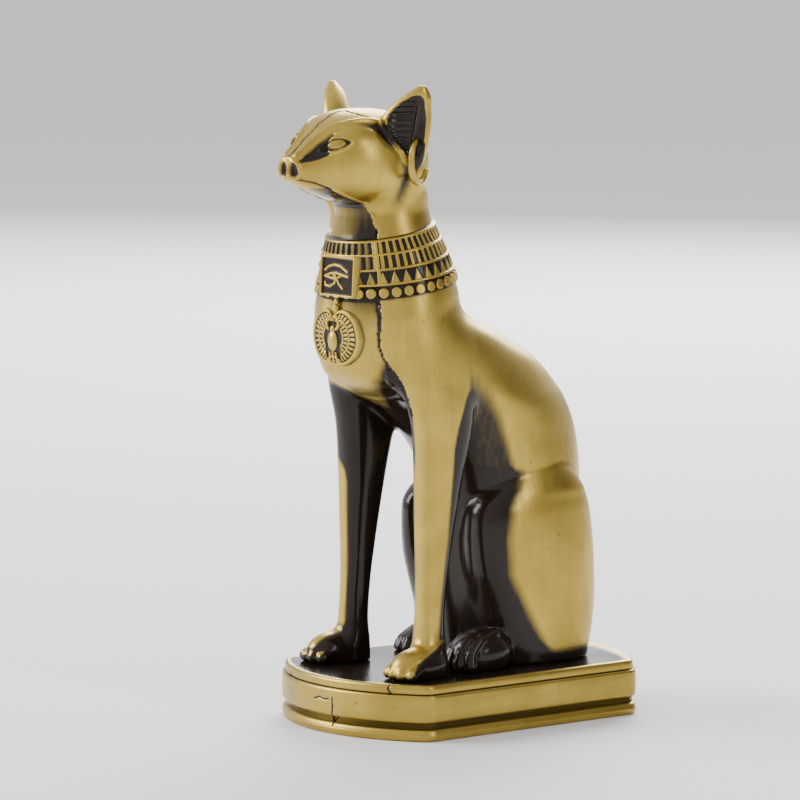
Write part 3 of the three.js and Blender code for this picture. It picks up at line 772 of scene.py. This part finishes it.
# The long crack down the left of the breast, and half its width at heights.
BODY_SEAM = [
    (8.6, -31, 103.8), (10, -32.1, 96.6), (10.9, -32.4, 92), (11.5, -32.8, 87.5), (11.9, -32.9, 85.2),
    (12.2, -32.9, 83), (11.9, -33, 79.9), (11.8, -32.7, 77.1), (12.2, -32, 74.8), (12.7, -30.9, 72.7),
    (13.3, -29.2, 70.6), (13.5, -27.8, 68.8), (13.7, -25.9, 64.6), (14.2, -24.9, 61.1),
]
SEAM_HALF = [61, 66, 72, 76, 79, 83, 87, 91, 104], [0.2, 0.3, 0.35, 0.35, 0.42, 0.62, 0.66, 0.45, 0.3]

# The throat's strip: heights, and half its width at each.
STRIP_EDGE = [66, 72, 80, 88, 97, 103.5, 107, 109.3, 110.6, 112, 113.4], [
    10.5, 12.2, 11.9, 11.5, 10.0, 8.7, 7.4, 6.8, 6.8, 6.6, 6.1]

# Collar: the hoops' heights at the sides, the line of discs, and how far it all rises from breast to nape.
HOOPS = [93.1, 96.5, 99.9, 103]
DISC_LINE = HOOPS[0] - 1.9
COLLAR_RISE = 4.6

# How many discs and bars run round it, the discs' pitch, the closing strip's angle and the collar's mean
# radius for it, and the height of sunk ground.
DISCS = 35
BARS = 52
DISC_PITCH = 2.94
SEAM_ANGLE = -0.86
COLLAR_RADIUS = 15
SUNK = -0.5


def throat(points):
    """1 on the strip of throat and breast between the jaw's edges and the long crack, and its bright rim."""
    x, y, z = mirrored(points).T
    edge = np.interp(z, *STRIP_EDGE)
    front = rise(-y, 24, 26) * fall(z, 113.2, 113.8)
    jag = 0.1 * np.sin(z * 1.9) + 0.06 * np.sin(z * 4.7)
    strip = fall(x, edge + jag - 0.25, edge + jag + 0.1) * front
    rim = np.exp(-(((x - edge - jag - 0.45) / 0.35) ** 2)) * front * rise(z, 102, 104)
    left = np.where(z > 100, 1, rise(points[:, 0], -6, -2))
    return strip * left, rim


def breast_relief(points):
    """The crack's gap, the sunk strip beside it and the patina they hold, with a painted sheen on the strip
    and a painted shadow under the collar.
    """
    x, y, z = points.T
    strip, rim = throat(points)
    jagged = points + np.stack([0.12 * np.sin(z * 2.3) + 0.08 * np.sin(z * 5.9), 0 * z, 0 * z], -1)
    d, _ = to_line(jagged, BODY_SEAM)
    half = np.interp(z, *SEAM_HALF)
    gap = fall(d, half * 0.75, half * 1.25)
    move = -0.5 * strip - 0.5 * gap + 0.3 * rim
    # Painted sheen: the sunk strip's black is painted lighter towards the cat's right.
    painted_sheen = np.interp(x, [-9, -4, 1, 5, 9], [0.15, 0.4, 0.62, 0.9, 1])
    relief_dark = strip * np.interp(z, [66, 79, 84, 89, 103, 113], [0, 0, 0.35, 1.0, 1.0, 0.85]) * painted_sheen
    # The band round the collar's discs: the collar's black ground, and a painted shadow of the collar below
    # it.
    low = DISC_LINE + 0.1 + COLLAR_RISE / 2 * np.clip((y + 20.6) / 15, -1, 1)
    collar_ground_and_shadow = fall(np.abs(z - low), 1.3, 2.0)
    crease, _ = to_line(mirrored(points), FLANK_SEAM)
    seam = fall(crease, 0.15, 0.4)
    return move - 0.3 * seam, relief_dark + 1.4 * gap - 0.6 * rim + 1.1 * collar_ground_and_shadow


# The fold inside the left ear, from the tip down, and the ribs' pitch.
EAR_FOLD = [
    (17.5, -24.5, 136.5), (16.1, -24.4, 131.9), (15.1, -24.2, 129), (14.7, -24.6, 126), (14.5, -25.1, 123),
]
RIB_PITCH = 1.3


def ear_field(shape):
    field = Field((6, -37, 115), (23, -12, 140), 0.35)
    field.add(ear_form(1, *shape, 0.35), 0.1)
    return field


ear_hollow = ear_field(EAR_HOLLOW)
ear_shell = ear_field(EAR_SHELL)


def ear_relief(points, normals):
    """The ribs and the fold inside the ears."""
    p = mirrored(points)
    x, y, z = p.T
    near = (z > 117) & (y > -33) & (y < -18) & (x > 8.5)
    inside = near * fall(ear_hollow.at(p), 0.2, 0.5) * rise(-ear_shell.at(p), 0.1, 0.45)
    fold, _ = to_line(p, EAR_FOLD)
    ahead = rise(-y, 24.6, 25.2)
    ribs = 0.5 + 0.5 * np.cos(z * 2 * np.pi / RIB_PITCH)
    move = inside * 0.3 * ribs * ahead * rise(fold, 0.5, 0.9) + inside * 0.6 * np.exp(-((fold / 0.5) ** 2))
    dark = inside * (1.3 - 0.5 * np.exp(-((fold / 0.45) ** 2)) - 0.3 * ribs * ahead)
    foot = near * (1 - inside) * fall(z, 123.5, 125)
    foot = foot * rise(-y, 22.9, 23.5) * rise(x, 14.2, 14.8)
    behind = near * (1 - inside) * (1 - foot) * rise(-ear_shell.at(p), -0.5, 0.2)
    return move, dark + 1.0 * foot - 0.6 * behind


# Body and head


def field_piece(name, field):
    """The skin of a field with the relief, and the patina and painted shade on it."""
    points, quads = field.skin()
    normals = field.normals(points)
    move, relief_dark = breast_relief(points)
    if points[:, 2].max() > 110:
        for relief in (face_relief, ear_relief):
            more, dark = relief(points, normals)
            move, relief_dark = move + more, relief_dark + dark
    dark = np.clip(patina_and_shade(points, normals) + relief_dark, 0, 1)
    return mesh_object(name, points + normals * move[:, None], quads, cast_brass, dark)


body = field_piece("cat_body", body_field)
head = field_piece("cat_head", head_field)

# Collar

TRUNK_AT = dense(TRUNK)


def on_trunk(z, angle, out):
    """Points on the trunk at heights and angles: 0 at the cat's left, a quarter turn back at its breast."""
    front, back, half, narrow = (np.interp(z, TRUNK_AT[0], c) for c in TRUNK_AT[1:])
    x = half * np.cos(angle) * (1 - narrow * np.sin(angle))
    y = (front + back) / 2 + (back - front) / 2 * np.sin(angle)
    nx, ny = np.cos(angle) / half, 2 * np.sin(angle) / (back - front)
    size = np.hypot(nx, ny)
    return np.stack([x + out * nx / size, y + out * ny / size, z + 0 * x], -1)


def breast_y(x, z):
    """The breast's surface in front of the point (x, z)."""
    front, back, half, narrow = (np.interp(z, TRUNK_AT[0], c) for c in TRUNK_AT[1:])
    y = front
    for _ in range(3):
        lean = np.clip((y - (front + back) / 2) / ((back - front) / 2), -1, 1)
        across = half * (1 - narrow * lean)
        y = (front + back) / 2 - (back - front) / 2 * np.sqrt(np.clip(1 - (x / across) ** 2, 0, 1))
    return y


def pad(distance, half, soft=0.22):
    """A low pad's profile: 1 within half of its middle, rounding off at its edge."""
    return fall(np.abs(distance), half - soft, half + soft * 0.6)


def sheet(name, points, dark, closed=False):
    """A cast surface from a grid of points and the patina at each."""
    quads = grid_quads(*dark.shape, closed)
    dark = np.clip(dark, 0, 1).ravel()
    return mesh_object(name, points.reshape(-1, 3), quads if closed else quads[:, ::-1], cast_brass, dark)


# Plaque: half its size, its place, its lean in degrees and the place of the breast that it rests on.
PLAQUE = {"half_u": 6.4, "half_v": 4.75, "x": 0.5, "z": 92.8, "lean": 3, "rest": (-0.6, 93.1)}


def collar():
    """Four hoops with rows of bars and of points between them, over a row of discs."""
    turns, rows = (760, 118) if fine else (380, 60)
    angle = np.arange(turns) / turns * 2 * np.pi
    line = np.linspace(DISC_LINE - 1.9, HOOPS[3] + 1.0, rows)
    z, a = np.meshgrid(line, angle, indexing="ij")
    height = np.where(z < HOOPS[0], SUNK, 0.04)
    height = np.where(z > HOOPS[3] + 0.55, SUNK, height)
    bars = (a * BARS / (2 * np.pi)) % 1 - 0.5
    upper = (z > HOOPS[1]) & (z < HOOPS[3])
    height = np.where(upper, height + 0.42 * pad(bars, 0.27, 0.1), height)
    spot = (a * DISCS / (2 * np.pi)) % 1 - 0.5
    share = (z - HOOPS[0]) / (HOOPS[1] - HOOPS[0])
    point_row = (z > HOOPS[0]) & (z < HOOPS[1])
    height = np.where(point_row, height + 0.42 * pad(spot, 0.44 * (1 - share) - 0.02, 0.07), height)
    disc = np.hypot(spot * DISC_PITCH, z - DISC_LINE)
    height = np.where(disc < 1.5, np.maximum(height, SUNK + 1.2 * pad(disc, 1.22, 0.16)), height)
    strip = 0.6 * pad(np.abs(a - (SEAM_ANGLE + 2 * np.pi)) * COLLAR_RADIUS, 0.42, 0.14)
    height = np.where((z > HOOPS[0]) & (z < HOOPS[3]), np.maximum(height, strip), height)
    for hoop in HOOPS:
        height = np.maximum(height, SUNK + 1.22 * pad(z - hoop, 0.42, 0.26))
    tilt = COLLAR_RISE / 2 * np.sin(a)
    flush = on_trunk(z + tilt, a, 0)
    behind_plaque = np.abs(flush[..., 0] - PLAQUE["x"]) < PLAQUE["half_u"] - 0.3
    behind_plaque &= np.abs(flush[..., 2] - PLAQUE["z"]) < PLAQUE["half_v"] - 0.35
    behind_plaque &= flush[..., 1] < -20
    height = np.where(behind_plaque, SUNK, height)
    points = on_trunk(z + tilt, a, height)
    worn = rise(height, 0.2, 0.5)
    front_left = rise(np.cos(a - 1.5 * np.pi), 0.78, 0.86) * (np.cos(a) < np.cos(SEAM_ANGLE) - 0.02)
    dark = 1.05 - 1.1 * worn + 0.55 * front_left * (height < 0.62)
    return sheet("collar", points, dark, True)


def strokes(u, v, lines, half, soft=0.1):
    """How much of a stroke lies at each place of a flat grid."""
    flat = np.stack([u.ravel(), v.ravel(), 0 * u.ravel()], -1)
    total = np.zeros(u.size)
    for line in lines:
        d, _ = to_line(flat, [(a, b, 0) for a, b in line])
        total = np.maximum(total, fall(d, half - soft, half + soft))
    return total.reshape(u.shape)


# The traditional eye, in shares of half the plaque: brow, upper lid, lower lid, curl and tear line.
EYE_STROKES = [
    [(-0.85, 0.32), (-0.63, 0.53), (-0.26, 0.65), (0.19, 0.59), (0.66, 0.3)],
    [(-0.85, -0.02), (-0.48, 0.14), (-0.11, 0.2), (0.26, 0.1), (0.7, 0.02)],
    [(-0.78, -0.04), (-0.41, -0.12), (-0.08, -0.15), (0.24, 0.06)],
    [(-0.12, -0.15), (-0.2, -0.4), (-0.48, -0.6), (-0.78, -0.56), (-0.82, -0.38)],
    [(-0.02, -0.15), (0.1, -0.4), (0.36, -0.66)],
]


def plaque():
    """A framed plaque with the eye, standing flat on the curved breast."""
    half_u, half_v = PLAQUE["half_u"], PLAQUE["half_v"]
    step = 0.09 if fine else 0.16
    spans = [np.arange(-half - 0.36, half + 0.37, step) for half in (half_u, half_v)]
    u, v = np.meshgrid(*spans, indexing="ij")
    edge = np.minimum(half_u - np.abs(u), half_v - np.abs(v))
    height = 0.55 + 0.5 * fall(edge, 0.5, 0.72)
    lines = [[(a * (half_u - 0.9), b * (half_v - 0.7)) for a, b in line] for line in EYE_STROKES]
    drawn = strokes(u, v, lines, 0.3)
    pupil = fall(np.hypot(u + 1.1, v - 0.15), 0.5, 0.7)
    height += 0.42 * np.maximum(drawn, pupil) * (edge > 0.8)
    height = np.where(edge < 0, -2.6, height)
    y = breast_y(*PLAQUE["rest"]) + 0.3 + v * np.sin(np.radians(PLAQUE["lean"])) - height
    dark = 1.0 - 1.1 * rise(height, 0.68, 0.92)
    return sheet("plaque", np.stack([u + PLAQUE["x"], y, v + PLAQUE["z"]], -1), dark)


# Scarab: its middle's height, and its outline as turns in degrees with the reach at each.
SCARAB_Z = 78.6
SCARAB_OUTLINE = [-90, -75, -60, -30, 0, 30, 50, 65, 76, 84, 90], [
    6.5, 6.7, 7.2, 8.2, 8.75, 8.6, 8.0, 7.3, 6.4, 5.2, 4.2]


def scarab():
    """A heart-shaped pendant: a beetle between two wings of feathers, with a fan of three below."""
    step = 0.09 if fine else 0.17
    u, v = np.meshgrid(np.arange(-9.3, 9.31, step), np.arange(-7.2, 7.21, step), indexing="ij")
    turn = np.degrees(np.arctan2(v, np.abs(u)))
    share = np.hypot(u, v) / np.interp(turn, *SCARAB_OUTLINE)
    height = 0.42 + 0.42 * rise(share, 0.875, 0.9)
    for low, high, count in ((0.68, 0.85, 38), (0.46, 0.6, 30)):
        ring = rise(share, low - 0.015, low + 0.015) * fall(share, high - 0.015, high + 0.015)
        feather = rise(np.cos(np.radians(turn) * count), -0.75, 0.1)
        height += 0.28 * ring * feather
    for arc in (0.64, 0.42):
        height += 0.3 * fall(np.abs(share - arc), 0.02, 0.042)
    clear = fall(np.abs(u), 2.5, 2.9) * rise(v, -5.4, -5.0) * fall(v, 3.6, 4.0)
    height = height * (1 - clear) + 0.3 * clear
    body = np.clip(1 - (u / 1.75) ** 2 - ((v + 0.7) / 2.5) ** 2, 0, 1) ** 0.5
    neck = np.clip(1 - (u / 0.8) ** 2 - ((v - 2.0) / 1.0) ** 2, 0, 1) ** 0.5
    height = np.maximum(height, 0.3 + 1.0 * body)
    height = np.maximum(height, 0.3 + 0.8 * neck)
    horns = [(2.2 * math.sin(t), 3.4 - 1.8 * math.cos(t)) for t in np.linspace(0.75, 2 * math.pi - 0.75, 24)]
    fan = [[(0.0, -3.2), (0.0, -6.0)]]
    turns = np.linspace(0.1, 1.5, 8)
    for side in (-1, 1):
        fan.append([(side * 2.6 * math.sin(t), -3.6 - 2.5 * math.sin(t / 2 + 0.2)) for t in turns])
        fan.append([(side * 1.1, -3.4), (side * 1.35, -5.7)])
    fan.append([(2.2 * math.cos(t), -4.6 + 1.5 * math.sin(t)) for t in np.linspace(-2.9, -0.25, 16)])
    height = np.maximum(height, 0.3 + 0.65 * strokes(u, v, [horns], 0.36))
    height = np.maximum(height, 0.3 + 0.5 * strokes(u, v, fan, 0.26))
    height = np.maximum(height, 0.3 + 0.7 * fall(np.hypot(u, v - 5.2), 0.5, 0.8))
    z = SCARAB_Z + v
    y = 0.65 * breast_y(u, z) + 0.35 * breast_y(0 * u, z) + 0.4 - height
    y = np.where(share > 1, breast_y(u, z) + 1.0, y)
    dark = np.where(share > 1, 1.0, 1.0 - 1.15 * rise(height, 0.5, 0.72))
    return sheet("scarab", np.stack([u, y, z], -1), dark)


def swept(path, radii, sides, up=(0, 0, 1)):
    """A round tube along a path, closed at its ends."""
    path = np.array(path, dtype=float)
    ahead = np.gradient(path, axis=0)
    ahead /= np.linalg.norm(ahead, axis=1, keepdims=True)
    side = np.cross(ahead, up)
    side /= np.maximum(np.linalg.norm(side, axis=1, keepdims=True), 1e-6)
    top = np.cross(side, ahead)
    a = np.arange(sides) / sides * 2 * np.pi
    r = np.asarray(radii)[:, None, None]
    circle = np.cos(a)[None, :, None] * side[:, None] + np.sin(a)[None, :, None] * top[:, None]
    rings = path[:, None] + r * circle
    return rings.reshape(-1, 3), grid_quads(len(path), sides, True)


def earring(side):
    """A thick crescent hoop that hangs in the ear."""
    middle = np.array((15.5, -23.9, 119.7))
    across = 4.3 * np.array((0.45, -0.89, 0))
    upright = np.array((0, 0, 5.0))
    turn = np.radians(np.linspace(6, 248, 60 if fine else 30))
    path = middle + np.sin(turn)[:, None] * across + np.cos(turn)[:, None] * upright
    radii = 0.35 + 0.5 * np.sin(np.linspace(0.05, math.pi - 0.35, len(turn))) ** 0.8
    radii[[0, -1]] = 0.02
    path[:, 0] *= side
    points, quads = swept(path, radii, 20, (side * 0.89, 0.45, 0))
    if side < 0:
        quads = quads[:, ::-1]
    name = "ear_hoop_left" if side > 0 else "ear_hoop_right"
    return mesh_object(name, points, quads, cast_brass, np.full(len(points), 0.02))


def bead(name, x, z, radius):
    """A bead of the chain between plaque and scarab, half sunk in the breast."""
    y = float(breast_y(np.array(x), np.array(z)))
    t = np.linspace(0.02, math.pi - 0.02, 14)
    path = np.stack([0 * t + x, 0 * t + y - 0.2, z + radius * 1.25 * np.cos(t)], -1)
    points, quads = swept(path, radius * np.sin(t), 20, (0, 1, 0))
    return mesh_object(name, points, quads, cast_brass, np.full(len(points), 0.1))


ornaments = [collar(), plaque(), scarab(), earring(1), earring(-1), bead("bead_upper", 0.8, 87.0, 0.62),
             bead("bead_lower", 0.9, 85.5, 0.78)]

# Plinth

# The plan's sizes, the heights of foot band, groove, main band and top tier from below, then how far the
# groove and the tier are set back.
PLINTH = {"width": 56.2, "length": 84.4, "bow": 11.1, "corner": 4.5,
          "foot": 2.9, "groove": 1.4, "band": 6.5, "tier": 2.2, "depth": 0.9, "setback": 0.8}

# How far the top's outer rings reach in from the tier's edge.
FLAT_REACH = 3.5


def plinth_outline(inset):
    """The plan, drawn in by inset all round: arcs at corners and bowed ends, straight sides between."""
    half, bow, corner = PLINTH["width"] / 2, PLINTH["bow"], PLINTH["corner"]
    end_radius = (half**2 + bow**2) / (2 * bow)
    end_centre = PLINTH["length"] / 2 - end_radius
    corner_x = half - corner
    turn = math.acos(corner_x / (end_radius - corner))
    corner_y = end_centre + (end_radius - corner) * math.sin(turn)

    def arc(x, y, radius, start, stop, count):
        a = np.linspace(start, stop, count)
        return np.stack([x + radius * np.cos(a), y + radius * np.sin(a)], -1)
    end = np.concatenate([
        np.stack([np.full(30, half - inset), np.linspace(-corner_y, corner_y, 32)[1:-1]], -1),
        arc(corner_x, corner_y, corner - inset, 0, turn, 12),
        arc(0, end_centre, end_radius - inset, turn, math.pi - turn, 300 if fine else 80)[1:-1],
        arc(-corner_x, corner_y, corner - inset, math.pi - turn, math.pi, 12),
    ])
    return np.concatenate([end, -end])


def rounded(z0, z1, inset, bulge, round_low, round_high, count=9):
    """A band's profile from z0 up to z1, with rounded edges and a slight swell."""
    t = np.linspace(0, math.pi / 2, 6)
    low = [(z0 + round_low * (1 - math.cos(a)), inset + round_low * (1 - math.sin(a))) for a in t]
    high = [(z1 - round_high * (1 - math.cos(a)), inset + round_high * (1 - math.sin(a))) for a in t[::-1]]
    straight = z1 - z0 - round_low - round_high
    shares = np.linspace(0, 1, count)[1:-1]
    mid = [(z0 + round_low + straight * k, inset - bulge * math.sin(math.pi * k)) for k in shares]
    return low + mid + high


# Cracks in the bowed front, as places across and up.
CRACKS = [
    [(4.9, 0, 8.5), (5.1, 0, 6.5), (4.7, 0, 4.6), (5, 0, 2)],
    [(-1.4, 0, 7.8), (0.6, 0, 8.3), (2.3, 0, 7.9), (3.7, 0, 8.2)],
    [(-14.9, 0, 13.1), (-14.6, 0, 11.8), (-15.3, 0, 10.8)],
    [(19.4, 0, 13.1), (19.1, 0, 12), (19.7, 0, 10.8)],
]


def top_lacquer_and_reflection(inside, y):
    """The black lacquer on the plinth's top, inside millimetres in from its edge: a rubbed brass edge, and
    brass painted farther in at the rear as a painted reflection.
    """
    return rise(inside + 0 * y, 0.15, 1.0 + 9 * rise(y, 26, 42))


def plinth_piece():
    """The plinth as rings of its plan up the profile and in over the top, closed beneath."""
    p = PLINTH
    z1 = p["foot"]
    z2 = z1 + p["groove"]
    z3 = z2 + p["band"]
    z4 = z3 + p["tier"]
    profile = rounded(0, z1, 0.12, 0.1, 0.9, 1.1)
    profile += [(z1 + 0.02, p["depth"]), (z2 - 0.02, p["depth"])]
    profile += rounded(z2, z3, 0.12, 0.1, 0.7, 0.7, 22)
    profile += [(z3 + 0.02, p["setback"] + 0.15)] + rounded(z3 + 0.04, z4, p["setback"], 0.05, 0.3, 0.75)
    flat = [(z4, p["setback"] + more) for more in (0.95, 1.2, 1.5, 2, 2.5, 3, FLAT_REACH)]
    rings = []
    numbers = []
    for z, inset in profile + flat:
        line = plinth_outline(inset)
        dark = np.full(len(line), 0.02)
        if z1 <= z <= z2 and inset >= p["depth"] - 0.1:
            dark += 0.75
        if abs(z - z3) < 0.06 and inset > 0.6:
            dark += 0.85
        if z > z4 - 0.01:
            dark += top_lacquer_and_reflection(inset - p["setback"] - 0.7, line[:, 1])
        places = np.column_stack([line[:, 0], 0 * line[:, 0], np.full(len(line), z)])
        crack = np.min([to_line(places, path)[0] for path in CRACKS], axis=0)
        crack = fall(crack, 0.1, 0.3) * (line[:, 1] < -25) * (inset < p["setback"] + 1.6)
        line[:, 1] += 0.25 * crack
        rings.append(np.column_stack([line, np.full(len(line), z)]))
        numbers.append(dark + 1.2 * crack)
    rim = rings[-1]
    for share in (0.96, 0.9, 0.8, 0.65, 0.45, 0.25, 0.02):
        ring = rim * (share, share, 1)
        rings.append(ring)
        numbers.append(top_lacquer_and_reflection(FLAT_REACH + 36 * (1 - share), ring[:, 1]))
    under = rings[0] * (0.02, 0.02, 1)
    rings.insert(0, under)
    numbers.insert(0, np.zeros(len(line)))
    quads = grid_quads(len(rings), len(rings[0]), True)
    points, dark = np.concatenate(rings), np.concatenate(numbers)
    return mesh_object("plinth_moulded", points, quads, plinth_brass, dark, place=(0, 0, 0))


plinth = plinth_piece()
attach(plinth, "root")
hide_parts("plinth")

for piece in [body, head] + ornaments:
    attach(piece, "root")
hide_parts("cat")

# Floor, light and camera, in metres

FLOOR_REACH = 12
BACKDROP_SIDE = (0.78, 0.62, 0.1)
CAMERA_PLACE = (0.9327817, -0.7555794, 0.2065865)
CAMERA_TARGET = (-0.0084844, -0.0111333, 0.0746337)
CAMERA_LENS = 230.53


def aim(made, place, target):
    """Sets an object at a place, turned to a target."""
    made.location = place
    made.rotation_euler = (Vector(target) - made.location).to_track_quat("-Z", "Y").to_euler()


def area_light(name, size, energy, place, target):
    data = bpy.data.lights.new(name, "AREA")
    data.shape = "RECTANGLE"
    data.size, data.size_y = size
    data.energy = energy
    aim(linked(name, data), place, target)


floor_mesh = bpy.data.meshes.new("floor")
corners = [(FLOOR_REACH * x, FLOOR_REACH * y, 0) for x, y in ((-1, -1), (1, -1), (1, 1), (-1, 1))]
floor_mesh.from_pydata(corners, [], [(0, 1, 2, 3)])
floor = linked("floor", floor_mesh)
pale = bpy.data.materials.new("pale_floor")
pale.use_nodes = True
pale_shader = pale.node_tree.nodes["Principled BSDF"]
pale_shader.inputs["Base Color"].default_value = (0.9, 0.9, 0.9, 1)
pale_shader.inputs["Roughness"].default_value = 0.8
floor_mesh.materials.append(pale)

area_light("key", (0.8, 0.8), 22.0, (-0.95, -0.95, 0.75), (0, 0, 0.08))
area_light("back", (0.9, 0.7), 26.0, (-0.8, 0.95, 0.72), (0, 0, 0.1))
area_light("side", (0.25, 0.7), 3.0, (0.95, 0.15, 0.5), (0, 0, 0.08))

world = bpy.data.worlds.new("studio")
bpy.context.scene.world = world
world.use_nodes = True
world.node_tree.nodes.clear()
sky = Nodes(world.node_tree)
ahead = sky.add("ShaderNodeTexCoord").outputs["Generated"]
toward = sky.add("ShaderNodeVectorMath", {0: ahead, 1: BACKDROP_SIDE}, operation="DOT_PRODUCT")
facing = toward.outputs["Value"]
shade = sky.ramp(facing, (0.02, (1, 1, 1)), (0.4, (0.74, 0.74, 0.74)), (0.92, (0.18, 0.175, 0.17)))
light = sky.add("ShaderNodeBackground", {"Color": shade, "Strength": 1.08})
sky.add("ShaderNodeOutputWorld", {"Surface": light.outputs["Background"]})

lens = bpy.data.cameras.new("camera")
lens.lens = CAMERA_LENS
lens.sensor_width = 36
lens.clip_start = 0.05
camera = linked("camera", lens)
aim(camera, CAMERA_PLACE, CAMERA_TARGET)
bpy.context.scene.camera = camera
